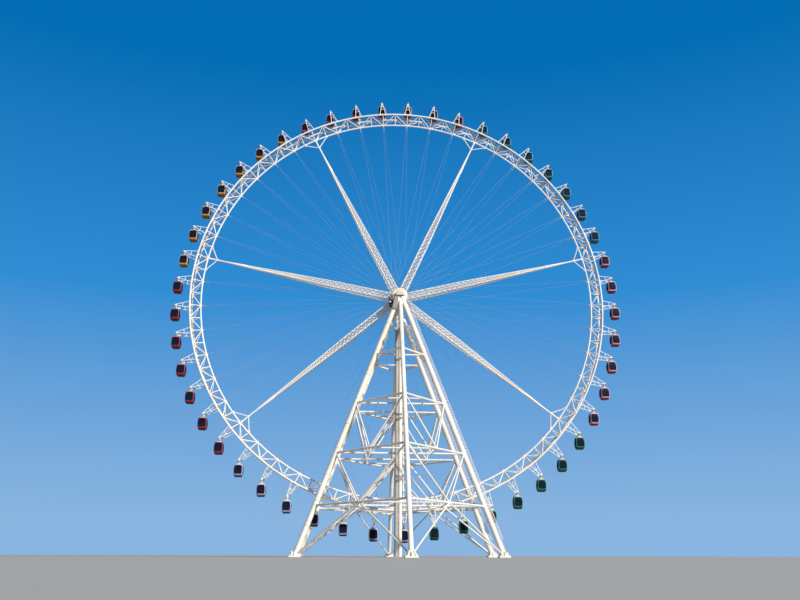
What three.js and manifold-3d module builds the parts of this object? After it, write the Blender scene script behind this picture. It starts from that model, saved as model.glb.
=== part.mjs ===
// Giant observation wheel as a 1:10 scale model, all sizes in millimetres of the model.
// X runs to the right, Y along the axle away from the viewer, Z up; the origin lies on the ground below the hub.
// The wheel carries its cabins outside a three-chord rim, and two three-legged towers hold its axle.
import * as THREE from 'three';
import { mergeVertices } from 'three/addons/utils/BufferGeometryUtils.js';
import Module from 'manifold-3d';

const wasm = await Module();
wasm.setup();

// Whole wheel
const axleHeight = 4620;
const spokeCount = 7;
const cabinsPerSector = 7;
const cabinCount = spokeCount * cabinsPerSector;
const cabinStep = (2 * Math.PI) / cabinCount;
const restTurn = THREE.MathUtils.degToRad(5.06); // the first cabin at rest, left of the top
const pivotRadius = 4115;

// Rim: two outer chords and one inner chord, joined in its two side faces
const outerChordRadius = 3850;
const innerChordRadius = 3669;
const rimHalfWidth = 112;
const outerChordSize = 16; // half the width across the flats
const innerChordSize = 15;
const rimPostSize = 13; // a bar's size is the distance from its middle to its corners
const sectorJoint = 0.3; // gap between the ends of two rim sectors
const midPanel = Math.cos(cabinStep / 2); // chords are straight between half stations, so they dip at the cabins

// Cabin brackets: a flat two-legged frame in the plane of each outer chord
const bracketFoot = 60;
const bracketBarWidth = 15;
const bracketHeadWidth = 22;
const bracketHeadLength = 12; // the frame runs on past the pivot by this much
const bracketThickness = 20;

// Cabin, with heights counted from its pivot
const cabinHalfWidth = 82;
const cabinBevel = 1.2; // reach across the bevelled corners, as a share of the half width
const cabinOutline = [ // height, and reach as a share of the half width
  [-40, 0.4],
  [-68, 0.84],
  [-134, 1],
  [-210, 0.95],
  [-272, 0.72],
];
const hangerWidth = 24;
const hangerLength = 48;
const hangerShaft = 16;
const shaftEndGap = 0.4;

// Hub and axle
const roundSides = 24;
const hubRadius = 120;
const hubHalfLength = 205;
const axleRadius = 60;
const axleHalfLength = 256;

// Cables and the rings that hold them on the hub
const cableRingGap = 0.6;
const cableRingHeight = 20;
const cableRingPlace = 178;
const cableRingWidth = 18;
const cableSize = 3;
const cableEndGap = 0.6;
const cableLinkHalf = 14; // the two cables of a pair stand this far from the rim's middle plane
const cableSpread = THREE.MathUtils.degToRad(62); // they leave the hub on opposite sides of its middle

// Spoke masts: distance from the axle line, half width and half depth
const mastRoot = { at: 80, width: 64, depth: 120 };
const mastBelly = { at: 1300, width: 60, depth: 92 };
const mastTip = { at: 3300, width: 12, depth: 12 };
const mastCells = [[150, 1290], [1306, 2240], [2256, 2860]];
const mastTubeWidth = 14;
const mastEndSize = 16;
const mastEndOverlap = 60;
const forkSplit = 3485;
const forkBarSize = 12;
const forkPad = 24;
const forkPadGap = 1.2; // the chord bends at the pad, so the pad's edges come closer

// Towers: foot and head of each leg's centre line
const legFootX = 1737;
const legHeadX = 23;
const legFootY = 549;
const legHeadY = 385;
const columnFootY = 2905;
const columnHeadY = 335;
const legHeadHeight = 4560;
const columnHeadHeight = 4585;
const legRadius = 46;
const columnRadius = 37;
const ringHeights = [3452, 2570, 1704, 830];
const ringStrutSize = 19;
const ringTieSize = 15;
const braceSize = 15;
const footPlate = 190;
const footPlateHeight = 24;

// Bearing housing on each tower: a round case, a hood over the heads of the legs, and a saddle that widens upwards
const housingRadius = 142;
const housingInner = 222;
const housingOuter = 275;
const housingEdge = 14;
const hoodRadius = 100;
const hoodOuter = 400;
const hoodFloor = 42; // the hood's flat underside lies this far below the axle's middle
const bearingGap = 0.3;
const boreEnd = 262;
const saddleInner = 232;
const saddleOuter = 346;
const saddleFoot = { at: 4366, width: 72 };
const saddleTop = { at: 4590, width: 122 };

const steelPaint = new THREE.MeshStandardMaterial({ color: 0xe9e6dc, roughness: 0.5, metalness: 0.1 });
const cableSteel = new THREE.MeshStandardMaterial({ color: 0xc9ccce, roughness: 0.4, metalness: 0.8 });
// One colour for the seven cabins of each rim sector, going round to the left from the top
const cabinColours = [0xa01530, 0xe0a21c, 0xc0141c, 0x1c2350, 0x16623a, 0xb02040, 0x0f7a78];

// Turns a closed geometry into a solid that can be joined and cut.
function solidFrom(geometry) {
  const plain = geometry.clone();
  plain.deleteAttribute('normal');
  plain.deleteAttribute('uv');
  const merged = mergeVertices(plain, 1e-3);
  const corners = merged.index.array;
  const triangles = [];
  for (let i = 0; i < corners.length; i += 3) {
    const [a, b, c] = corners.slice(i, i + 3);
    if (a !== b && b !== c && c !== a) triangles.push(a, b, c);
  }
  return new wasm.Manifold(new wasm.Mesh({
    numProp: 3,
    vertProperties: new Float32Array(merged.attributes.position.array),
    triVerts: new Uint32Array(triangles),
  }));
}

function geometryFrom(solid) {
  const mesh = solid.getMesh();
  const geometry = new THREE.BufferGeometry();
  geometry.setAttribute('position', new THREE.BufferAttribute(new Float32Array(mesh.vertProperties), 3));
  geometry.setIndex(new THREE.BufferAttribute(new Uint32Array(mesh.triVerts), 1));
  geometry.computeVertexNormals();
  return geometry;
}

function fuse(solids) {
  return solids.reduce((whole, next) => whole.add(next));
}

function point(x, y, z) {
  return new THREE.Vector3(x, y, z);
}

// A straight bar with few sides, between the middles of its two ends.
function bar(start, end, size, sides) {
  const along = end.clone().sub(start);
  const geometry = new THREE.CylinderGeometry(size, size, along.length(), sides);
  geometry.rotateY(Math.PI / sides);
  geometry.rotateX(Math.PI / 2);
  const isUpright = Math.abs(along.z) > 0.99 * along.length();
  const turn = new THREE.Matrix4().lookAt(end, start, isUpright ? point(0, 1, 0) : point(0, 0, 1));
  geometry.applyMatrix4(turn);
  const middle = start.clone().add(end).multiplyScalar(0.5);
  geometry.translate(middle.x, middle.y, middle.z);
  return solidFrom(geometry);
}

function block(width, depth, height, centre) {
  const geometry = new THREE.BoxGeometry(width, depth, height);
  geometry.translate(centre.x, centre.y, centre.z);
  return solidFrom(geometry);
}

// A round solid about the axle line, from pairs of radius and place along Y.
function turnedRound(profile) {
  const points = profile.map(([radius, place]) => new THREE.Vector2(radius, place));
  return solidFrom(new THREE.LatheGeometry(points, roundSides));
}

// The point at a given angle left of the top, as the viewer sees the wheel.
function onWheel(radius, angle, y) {
  return point(-radius * Math.sin(angle), y, radius * Math.cos(angle));
}

// Circular arc in the wheel's plane, along which a rim chord runs.
class RimArc extends THREE.Curve {
  constructor(radius, y, reach) {
    super();
    Object.assign(this, { radius, y, reach });
  }

  getPoint(t) {
    return onWheel(this.radius, this.reach * (2 * t - 1), this.y);
  }
}

// A chord of a rim sector, from the corners of its section as pairs of outward and axial distances.
function rimChord(radius, y, corners) {
  const reach = (cabinsPerSector / 2) * cabinStep - sectorJoint / 2 / radius;
  const section = new THREE.Shape(corners.map(([outward, axial]) => new THREE.Vector2(axial, outward)));
  const path = new RimArc(radius, y, reach);
  return solidFrom(new THREE.ExtrudeGeometry(section, {
    steps: cabinsPerSector,
    extrudePath: path,
    bevelEnabled: false,
  }));
}

// One bracket frame in the plane of an outer chord, standing at the top of the wheel.
function bracketFrame(y) {
  const head = pivotRadius + bracketHeadLength;
  const half = bracketBarWidth / 2;
  const fork = pivotRadius - bracketHeadLength * 2;
  const outline = new THREE.Shape([
    [-bracketFoot - half, outerChordRadius],
    [-bracketHeadWidth / 2, head],
    [bracketHeadWidth / 2, head],
    [bracketFoot + half, outerChordRadius],
    [bracketFoot - half, outerChordRadius],
    [0, fork],
    [-bracketFoot + half, outerChordRadius],
  ].map(([x, z]) => new THREE.Vector2(x, z)));
  const geometry = new THREE.ExtrudeGeometry(outline, { depth: bracketThickness, bevelEnabled: false });
  geometry.rotateX(Math.PI / 2);
  geometry.translate(0, y + bracketThickness / 2, 0);
  return geometry;
}

// The rim between two sector joints, with the brackets of its cabins.
function rimSector() {
  const outer = outerChordSize;
  const inner = innerChordSize;
  const pieces = [rimChord(innerChordRadius, 0, [[-inner, -inner], [-inner, inner], [inner, inner], [inner, -inner]])];
  for (const side of [-1, 1]) {
    const corners = [[-outer, -outer], [-outer, outer], [outer, outer], [outer, -outer]];
    pieces.push(rimChord(outerChordRadius, side * rimHalfWidth, corners));
  }
  for (let cabin = 0; cabin < cabinsPerSector; cabin += 1) {
    const angle = (cabin - (cabinsPerSector - 1) / 2) * cabinStep;
    for (const y of [-rimHalfWidth, rimHalfWidth]) {
      pieces.push(solidFrom(bracketFrame(y).rotateY(-angle)));
      const foot = onWheel(innerChordRadius * midPanel, angle, 0);
      pieces.push(bar(foot, onWheel(outerChordRadius * midPanel, angle, y), rimPostSize, 3));
    }
  }
  return fuse(pieces);
}

// A slab with the cabin's outline, deeper than the cabin, turned about the vertical.
function cabinSlab(scale, turn) {
  const right = cabinOutline.map(([height, share]) => new THREE.Vector2(share * scale * cabinHalfWidth, height));
  const left = cabinOutline.map(([height, share]) => new THREE.Vector2(-share * scale * cabinHalfWidth, height));
  const depth = 4 * cabinHalfWidth;
  const geometry = new THREE.ExtrudeGeometry(new THREE.Shape([...right, ...left.reverse()]), {
    depth,
    bevelEnabled: false,
  });
  geometry.translate(0, 0, -depth / 2);
  geometry.rotateX(Math.PI / 2);
  geometry.rotateZ(turn);
  return solidFrom(geometry);
}

// The hanger: a post on the roof with a shaft across it, whose ends stand just inside the two brackets.
function hangerSolid() {
  const reach = rimHalfWidth - bracketThickness / 2 - shaftEndGap;
  const half = hangerShaft / 2;
  const outline = [
    [reach, half],
    [reach, -half],
    [hangerWidth / 2, -half],
    [hangerWidth / 2, -hangerLength],
    [-hangerWidth / 2, -hangerLength],
    [-hangerWidth / 2, -half],
    [-reach, -half],
    [-reach, half],
  ].map(([along, height]) => new THREE.Vector2(along, height));
  const geometry = new THREE.ExtrudeGeometry(new THREE.Shape(outline), { depth: hangerShaft, bevelEnabled: false });
  geometry.translate(0, 0, -half);
  geometry.rotateX(Math.PI / 2);
  geometry.rotateZ(Math.PI / 2);
  return solidFrom(geometry);
}

// A cabin hanging from its pivot, which is the zero of its own heights.
function cabinSolid() {
  return [0, 1, 2, 3]
    .map((eighth) => cabinSlab(eighth % 2 === 0 ? 1 : cabinBevel, (eighth * Math.PI) / 4))
    .reduce((whole, next) => whole.intersect(next))
    .add(hangerSolid());
}

// Half width and half depth of a mast at a given distance from the axle line.
function mastSection(at) {
  const [near, far] = at <= mastBelly.at ? [mastRoot, mastBelly] : [mastBelly, mastTip];
  const share = (at - near.at) / (far.at - near.at);
  const width = THREE.MathUtils.lerp(near.width, far.width, share);
  const depth = THREE.MathUtils.lerp(near.depth, far.depth, share);
  return { at, width, depth };
}

// A four-sided solid that narrows from one section to another.
function tapered(near, far) {
  const geometry = new THREE.BoxGeometry(2, 2, 1);
  const corners = geometry.attributes.position;
  for (let i = 0; i < corners.count; i += 1) {
    const end = corners.getZ(i) < 0 ? near : far;
    corners.setXYZ(i, corners.getX(i) * end.width, corners.getY(i) * end.depth, end.at);
  }
  return solidFrom(geometry);
}

// One mast pointing straight up: four corner tubes between cross frames, and the fork that props the inner chord.
function spokeMast() {
  let lattice = tapered(mastRoot, mastBelly).add(tapered(mastBelly, mastTip));
  for (const [near, far] of mastCells.map((cell) => cell.map(mastSection))) {
    const narrow = (section) => ({ ...section, width: section.width - mastTubeWidth, depth: 2 * section.depth });
    const shallow = (section) => ({ ...section, width: 2 * section.width, depth: section.depth - mastTubeWidth });
    lattice = lattice.subtract(tapered(narrow(near), narrow(far))).subtract(tapered(shallow(near), shallow(far)));
  }
  const pieces = [lattice];
  const endFace = innerChordRadius * midPanel - innerChordSize - cableEndGap;
  pieces.push(bar(point(0, 0, mastTip.at - mastEndOverlap), point(0, 0, endFace), mastEndSize, 4));
  const padMiddle = innerChordRadius - innerChordSize - forkPadGap - forkPad / 4;
  for (const side of [-1, 1]) {
    const angle = (side * cabinStep) / 2;
    const pad = new THREE.BoxGeometry(forkPad, forkPad, forkPad / 2);
    pad.translate(0, 0, padMiddle);
    pad.rotateY(-angle);
    pieces.push(solidFrom(pad), bar(point(0, 0, forkSplit), onWheel(padMiddle, angle, 0), forkBarSize, 4));
  }
  return fuse(pieces);
}

// Hub drum with the axle stubs and the masts, as it stands at rest.
function hubAndSpokes() {
  const drum = turnedRound([
    [0, -axleHalfLength],
    [axleRadius, -axleHalfLength],
    [axleRadius, -hubHalfLength],
    [hubRadius, -hubHalfLength],
    [hubRadius, hubHalfLength],
    [axleRadius, hubHalfLength],
    [axleRadius, axleHalfLength],
    [0, axleHalfLength],
  ]);
  const mast = geometryFrom(spokeMast());
  const lastStation = ((cabinsPerSector - 1) / 2) * cabinStep;
  const masts = Array.from({ length: spokeCount }, (_, spoke) => {
    const angle = restTurn + lastStation + spoke * cabinsPerSector * cabinStep;
    return solidFrom(mast.clone().rotateY(-angle));
  });
  return fuse([drum, ...masts]);
}

// The way of a pair of cables: from the left of the front ring out to the rim, across its middle plane and back to
// the right of the rear ring. All four stops lie in one plane.
class CablePair extends THREE.Curve {
  constructor(startRadius, endRadius, angle) {
    super();
    const outward = startRadius * Math.cos(cableSpread);
    const sideways = startRadius * Math.sin(cableSpread);
    const stop = (radius, side, share) => onWheel(radius, angle, side * share * cableRingPlace)
      .sub(onWheel(side * share * sideways, angle + Math.PI / 2, 0));
    const linkShare = cableLinkHalf / cableRingPlace;
    this.stops = [
      stop(outward, -1, 1),
      stop(endRadius, -1, linkShare),
      stop(endRadius, 1, linkShare),
      stop(outward, 1, 1),
    ];
  }

  getPoint(t) {
    const leg = Math.min(Math.floor(t * 3), 2);
    return this.stops[leg].clone().lerp(this.stops[leg + 1], t * 3 - leg);
  }

  getPointAt(t) {
    return this.getPoint(t);
  }

  getTangentAt(t) {
    return this.getTangent(t);
  }
}

// Two rings on the hub, and a pair of cables to every inner chord station that has no spoke.
function cableNet() {
  const inner = hubRadius + cableRingGap;
  const outer = inner + cableRingHeight;
  const pieces = [-1, 1].map((side) => {
    const near = side * cableRingPlace - cableRingWidth / 2;
    const far = near + cableRingWidth;
    return turnedRound([[inner, near], [outer, near], [outer, far], [inner, far], [inner, near]]);
  });
  const endRadius = innerChordRadius * midPanel - innerChordSize - cableEndGap - cableSize;
  const section = new THREE.Shape(new THREE.EllipseCurve(0, 0, cableSize, cableSize).getPoints(3).slice(0, 3));
  for (let cabin = 0; cabin < cabinCount; cabin += 1) {
    const angle = restTurn + cabin * cabinStep;
    const hasSpoke = cabin % cabinsPerSector === (cabinsPerSector - 1) / 2;
    if (!hasSpoke) {
      const pair = new CablePair((inner + outer) / 2, endRadius, angle);
      const geometry = new THREE.ExtrudeGeometry(section, { steps: 3, extrudePath: pair, bevelEnabled: false });
      pieces.push(solidFrom(geometry));
    }
  }
  return fuse(pieces);
}

// The viewer's tower: two side legs and an outer column, tied by level rings, with the bearing housing on top.
function towerSolid() {
  const onLeg = (foot, head) => (height) => foot.clone().lerp(head, height / head.z);
  const left = onLeg(point(-legFootX, -legFootY, 0), point(-legHeadX, -legHeadY, legHeadHeight));
  const right = onLeg(point(legFootX, -legFootY, 0), point(legHeadX, -legHeadY, legHeadHeight));
  const column = onLeg(point(0, -columnFootY, 0), point(0, -columnHeadY, columnHeadHeight));
  const between = (a, b) => a.clone().add(b).multiplyScalar(0.5);
  const buried = -100; // the legs run on below the ground and are then cut level
  const pieces = [
    bar(left(buried), left(legHeadHeight), legRadius, 6),
    bar(right(buried), right(legHeadHeight), legRadius, 6),
    bar(column(buried), column(columnHeadHeight), columnRadius, 6),
  ];
  ringHeights.forEach((height, level) => {
    const [a, b, c] = [left(height), column(height), right(height)];
    pieces.push(bar(a, b, ringStrutSize, 3), bar(b, c, ringStrutSize, 3), bar(a, c, ringStrutSize, 3));
    if (level > 0) {
      const centre = between(a, c);
      pieces.push(bar(between(a, b), between(b, c), ringTieSize, 3));
      pieces.push(bar(between(a, b), between(a, centre), ringTieSize, 3));
      pieces.push(bar(between(b, c), between(c, centre), ringTieSize, 3));
    }
  });
  const [, second, third, fourth] = ringHeights;
  const ground = footPlateHeight / 2;
  const centreOf = (height) => between(left(height), right(height));
  for (const leg of [left, right]) {
    const sideNode = (height) => between(leg(height), column(height));
    const innerNode = (height) => between(leg(height), centreOf(height));
    for (const [lower, upper] of [[third, second], [fourth, third], [fourth, ground]]) {
      pieces.push(bar(sideNode(lower), leg(upper), braceSize, 3));
      pieces.push(bar(sideNode(lower), column(upper), braceSize, 3));
      pieces.push(bar(innerNode(lower), leg(upper), braceSize, 3));
      if (upper > lower) pieces.push(bar(innerNode(lower), centreOf(upper), braceSize, 3));
    }
  }
  for (const leg of [left, right, column]) {
    pieces.push(block(footPlate, footPlate, footPlateHeight, leg(footPlateHeight / 2)));
  }
  const saddleEnds = [saddleFoot, saddleTop].map((end) => ({ ...end, depth: (saddleOuter - saddleInner) / 2 }));
  pieces.push(tapered(...saddleEnds).translate(0, -(saddleInner + saddleOuter) / 2, 0));
  const hood = turnedRound([
    [0, -hoodOuter],
    [hoodRadius, -hoodOuter],
    [hoodRadius, -housingInner],
    [0, -housingInner],
  ]).translate(0, 0, axleHeight);
  const aboveFloor = point(0, -hoodOuter, axleHeight - hoodFloor + hoodRadius);
  pieces.push(hood.intersect(block(3 * hoodRadius, 3 * hoodOuter, 2 * hoodRadius, aboveFloor)));
  pieces.push(turnedRound([
    [0, -housingOuter],
    [housingRadius - housingEdge, -housingOuter],
    [housingRadius, -housingOuter + housingEdge],
    [housingRadius, -housingInner],
    [0, -housingInner],
  ]).translate(0, 0, axleHeight));
  const boreRadius = (axleRadius + bearingGap) / Math.cos(Math.PI / roundSides);
  const bore = turnedRound([
    [0, -boreEnd],
    [boreRadius, -boreEnd],
    [boreRadius, 0],
    [0, 0],
  ]).translate(0, 0, axleHeight);
  const aboveGround = block(3 * legFootX, 3 * columnFootY, 2 * axleHeight, point(0, 0, axleHeight));
  return fuse(pieces).subtract(bore).intersect(aboveGround);
}

function named(name, geometry, material) {
  const mesh = new THREE.Mesh(geometry, material);
  mesh.name = name;
  return mesh;
}

const towers = new THREE.Group();
const towerGeometry = geometryFrom(towerSolid());
const frontTower = named('front_tower', towerGeometry, steelPaint.clone());
const rearTower = named('rear_tower', towerGeometry, steelPaint.clone());
rearTower.rotation.z = Math.PI;
towers.add(frontTower, rearTower);

const wheel = new THREE.Group();
wheel.position.set(0, 0, axleHeight);
wheel.add(named('hub_and_spokes', geometryFrom(hubAndSpokes()), steelPaint.clone()));
wheel.add(named('cable_net', geometryFrom(cableNet()), cableSteel));

const sectorGeometry = geometryFrom(rimSector());
const cabinGeometry = geometryFrom(cabinSolid());
for (let sector = 0; sector < spokeCount; sector += 1) {
  const sectorAngle = restTurn + sector * cabinsPerSector * cabinStep;
  const rim = named(`rim_sector_${sector + 1}`, sectorGeometry, steelPaint.clone());
  rim.rotation.y = -sectorAngle;
  wheel.add(rim);
  const paint = new THREE.MeshStandardMaterial({ color: cabinColours[sector], roughness: 0.35, metalness: 0.1 });
  for (let place = 0; place < cabinsPerSector; place += 1) {
    const number = String(sector * cabinsPerSector + place + 1).padStart(2, '0');
    const cabin = named(`cabin_${number}`, cabinGeometry, paint.clone());
    const angle = sectorAngle + (place - (cabinsPerSector - 1) / 2) * cabinStep;
    cabin.position.copy(onWheel(pivotRadius, angle, 0));
    wheel.add(cabin);
  }
}

const observationWheel = new THREE.Group();
observationWheel.add(towers, wheel);

export default observationWheel;
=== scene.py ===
import math

import bpy
import numpy as np
from mathutils import Matrix, Vector


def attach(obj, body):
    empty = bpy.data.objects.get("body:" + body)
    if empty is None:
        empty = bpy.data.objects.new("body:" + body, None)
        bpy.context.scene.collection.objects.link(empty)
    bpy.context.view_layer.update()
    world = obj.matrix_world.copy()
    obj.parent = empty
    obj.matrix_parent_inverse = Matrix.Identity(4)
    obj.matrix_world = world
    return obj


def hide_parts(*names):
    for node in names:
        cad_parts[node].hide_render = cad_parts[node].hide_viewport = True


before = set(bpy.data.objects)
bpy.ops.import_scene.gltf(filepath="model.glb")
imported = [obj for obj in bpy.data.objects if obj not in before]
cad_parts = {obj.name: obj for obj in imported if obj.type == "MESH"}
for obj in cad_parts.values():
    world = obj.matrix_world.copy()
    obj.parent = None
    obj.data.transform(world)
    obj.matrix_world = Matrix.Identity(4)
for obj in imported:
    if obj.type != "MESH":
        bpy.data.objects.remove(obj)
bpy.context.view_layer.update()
print("frame loaded with", len(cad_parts), "nodes")

# metres of the 1:10 model; angles run leftwards from the top, as the viewer sees the wheel
wheelPlan = {
    "axleHeight": 4.62,
    "spokes": 7,
    "cabinsPerSpoke": 7,
    "firstCabin": 5.06,  # degrees left of the top
    "pivotRadius": 4.115,
    "outerRadius": 3.846,
    "innerRadius": 3.665,
    "halfWidth": 0.112,
}
spokes = wheelPlan["spokes"]
perSpoke = wheelPlan["cabinsPerSpoke"]
cabinStep = 2 * math.pi / (spokes * perSpoke)
sectorStep = cabinStep * perSpoke
lastStation = (perSpoke - 1) / 2  # counted from the middle of a sector
restTurn = math.radians(wheelPlan["firstCabin"])
axle = Vector((0, 0, wheelPlan["axleHeight"]))
up = (0, 0, 1)
forward = (0, -1, 0)  # towards the viewer


def vec(*numbers):
    return np.array(numbers, float)


def unit(vector):
    return vector / np.linalg.norm(vector)


def mixed(a, b, share):
    return a + (b - a) * share


def taken(plan, *names):
    return [plan[name] for name in names]


def onWheel(radius, angle, y=0.0):  # a point about the axle
    return vec(-radius * math.sin(angle), y, radius * math.cos(angle))


def squareAxes(along):  # two directions square to a bar, the three right-handed
    upright = abs(along[2]) > 0.9 * np.linalg.norm(along)
    first = unit(np.cross(along, vec(0, 1, 0) if upright else vec(0, 0, 1)))
    return first, unit(np.cross(along, first))


class Shape:  # gathers the points and faces of one piece
    def __init__(self):
        self.points = []
        self.faces = []
        self.marks = []
        self.total = 0

    def add(self, points, faces, mark=0):
        self.points.append(np.asarray(points, float))
        for group in faces:
            self.faces.append(np.asarray(group, int) + self.total)
            self.marks.append(np.full(len(group), mark))
        self.total += len(points)

    def rings(self, rows, mark=0, capped=True):  # a skin over rings of points
        sides = len(rows[0])
        here = np.arange(sides)
        ahead = np.roll(here, -1)
        low = (np.arange(len(rows) - 1) * sides)[:, None]
        high = low + sides
        quads = np.stack([low + here, low + ahead, high + ahead, high + here], -1)
        faces = [quads.reshape(-1, 4)]
        if capped:
            faces += [here[::-1][None], (here + high[-1])[None]]
        self.add(np.concatenate(rows), faces, mark)

    def turned(self, start, along, profile, sides, mark=0):  # profile: pairs of radius and way along
        along = unit(vec(*along))
        first, second = squareAxes(along)
        turn = (np.arange(sides) + 0.5) * 2 * math.pi / sides
        ring = np.cos(turn)[:, None] * first + np.sin(turn)[:, None] * second
        self.rings([vec(*start) + along * way + ring * radius for radius, way in profile], mark)

    def tube(self, start, end, radius, sides=12, mark=0):
        along = np.asarray(end) - np.asarray(start)
        self.turned(start, along, [(radius, 0), (radius, np.linalg.norm(along))], sides, mark)

    def swept(self, path, radius, sides, upward=(0, 1, 0)):  # a tube along a path
        path = np.asarray(path, float)
        ahead = np.gradient(path, axis=0)
        ahead /= np.linalg.norm(ahead, axis=1)[:, None]
        first = np.cross(ahead, vec(*upward))
        first /= np.linalg.norm(first, axis=1)[:, None]
        second = np.cross(ahead, first)
        turn = np.arange(sides) * 2 * math.pi / sides
        ring = np.cos(turn)[:, None, None] * first + np.sin(turn)[:, None, None] * second
        self.rings((path + radius * ring).transpose(1, 0, 2))

    def block(self, centre, size, bevel):  # a box with bevelled edges
        half = np.asarray(size) / 2
        signs = np.array([(x, y, z) for x in (-1, 1) for y in (-1, 1) for z in (-1, 1)])
        points = np.concatenate([signs * (half - bevel * (np.arange(3) != k)) for k in range(3)])
        sides = [(k, side) for k in range(3) for side in (-1, 1)]
        faces = [[k * 8 + c for c in range(8) if signs[c][k] == side] for k, side in sides]
        for k, other in ((0, 1), (1, 2), (0, 2)):
            for a, b in ((-1, -1), (-1, 1), (1, -1), (1, 1)):
                pair = [c for c in range(8) if signs[c][k] == a and signs[c][other] == b]
                faces.append([g * 8 + c for g in (k, other) for c in pair])
        faces = [roundFace(points, face) for face in faces]
        corners = [roundFace(points, [c, c + 8, c + 16]) for c in range(8)]
        self.add(vec(*centre) + points, [faces, corners])

    def plate(self, outline, start, thickness, mark=0, across=(1, 0, 0), upward=(0, 0, 1)):
        across = unit(vec(*across))
        upward = unit(vec(*upward))
        out = np.cross(across, upward)
        a, b = np.transpose(outline)
        if (a * np.roll(b, -1) - b * np.roll(a, -1)).sum() < 0:
            outline = outline[::-1]
        flat = np.array([vec(*start) + across * a + upward * b for a, b in outline])
        self.rings([flat - out * thickness / 2, flat + out * thickness / 2], mark)

    def bolts(self, centre, along, radius, count, size, mark=0):  # a circle of hexagon heads
        along = unit(vec(*along))
        first, second = squareAxes(along)
        head = [(size, 0), (size, size * 0.8), (size * 0.75, size)]
        for turn in np.arange(count) * 2 * math.pi / count:
            spot = vec(*centre) + radius * (math.cos(turn) * first + math.sin(turn) * second)
            self.turned(spot, along, head, 6, mark)

    def copy(self, other, angle):  # another shape, turned leftwards about the axle
        turn = np.array(Matrix.Rotation(-angle, 3, "Y"))
        self.points.append(np.concatenate(other.points) @ turn.T)
        self.faces += [group + self.total for group in other.faces]
        self.marks += other.marks
        self.total += other.total

    def swung(self, angle):
        twin = Shape()
        twin.copy(self, angle)
        return twin

    def mesh(self, name, finishes):
        corners = np.concatenate([group.ravel() for group in self.faces])
        sizes = np.concatenate([np.full(len(group), group.shape[1]) for group in self.faces])
        data = bpy.data.meshes.new(name)
        data.vertices.add(self.total)
        data.vertices.foreach_set("co", np.concatenate(self.points).ravel())
        data.loops.add(len(corners))
        data.loops.foreach_set("vertex_index", corners)
        data.polygons.add(len(sizes))
        data.polygons.foreach_set("loop_start", np.cumsum(sizes) - sizes)
        data.polygons.foreach_set("material_index", np.concatenate(self.marks))
        data.update(calc_edges=True)
        data.shade_smooth()
        data.set_sharp_from_angle(angle=math.radians(35))
        for finish in finishes:
            data.materials.append(finish)
        return data


def roundFace(points, face):  # a convex face's corners in turn, seen from outside
    corners = points[face]
    middle = corners.mean(0)
    out = unit(np.cross(corners[1] - corners[0], corners[2] - corners[0]))
    first = unit(corners[0] - middle)
    second = np.cross(out * np.sign(out @ middle), first)
    turn = np.arctan2((corners - middle) @ second, (corners - middle) @ first)
    return [face[i] for i in np.argsort(turn)]


def mirrored(half):  # an outline from its right half
    return [(-x, z) for x, z in half] + half[::-1]


def wedge(foot, top, low, high):  # the outline of an upright trapezium, from its half widths and heights
    return [(-foot, low), (foot, low), (top, high), (-top, high)]


def band(inner, outer, width, edge=0.0):  # the profile of a ring with sloping edges
    return [(inner, 0), (outer, edge), (outer, width - edge), (inner, width)]


def scaled(profile, radius, length=1.0):
    return [(radius * wide, length * way) for wide, way in profile]


def added(name, data):
    made = bpy.data.objects.new(name, data)
    bpy.context.scene.collection.objects.link(made)
    return made


def place(name, mesh, body, replaced=(), at=(0, 0, 0), turn=(0, 0, 0), slot="steel_paint"):
    piece = added(name, mesh)
    piece.location = at
    piece.rotation_euler = turn
    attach(piece, body)
    if replaced:
        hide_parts(*replaced)


class Wire:  # a socket to reckon with
    def __init__(self, board, socket):
        self.board = board
        self.socket = socket

    def maths(self, operation, *values):
        return self.board.node("ShaderNodeMath", {"operation": operation}, dict(enumerate(values)))

    def __add__(self, other):
        return self.maths("ADD", self, other)

    def __sub__(self, other):
        return self.maths("SUBTRACT", self, other)

    def __rsub__(self, other):
        return self.maths("SUBTRACT", other, self)

    def __mul__(self, other):
        return self.maths("MULTIPLY", self, other)

    __radd__ = __add__
    __rmul__ = __mul__


class Board:  # a node tree
    def __init__(self, tree):
        self.tree = tree

    def node(self, kind, settings=None, values=None, output=0):
        made = self.tree.nodes.new(kind)
        for setting, value in (settings or {}).items():
            if setting == "stops":
                ramp = made.color_ramp.elements
                for place, tone in value:
                    ramp.new(place).color = tone
                ramp.remove(ramp[0])  # the two that it came with
                ramp.remove(ramp[-1])
            else:
                setattr(made, setting, value)
        for socket, value in (values or {}).items():
            if isinstance(value, Wire):
                self.tree.links.new(value.socket, made.inputs[socket])
            else:
                made.inputs[socket].default_value = value
        return Wire(self, made.outputs[output])


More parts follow.
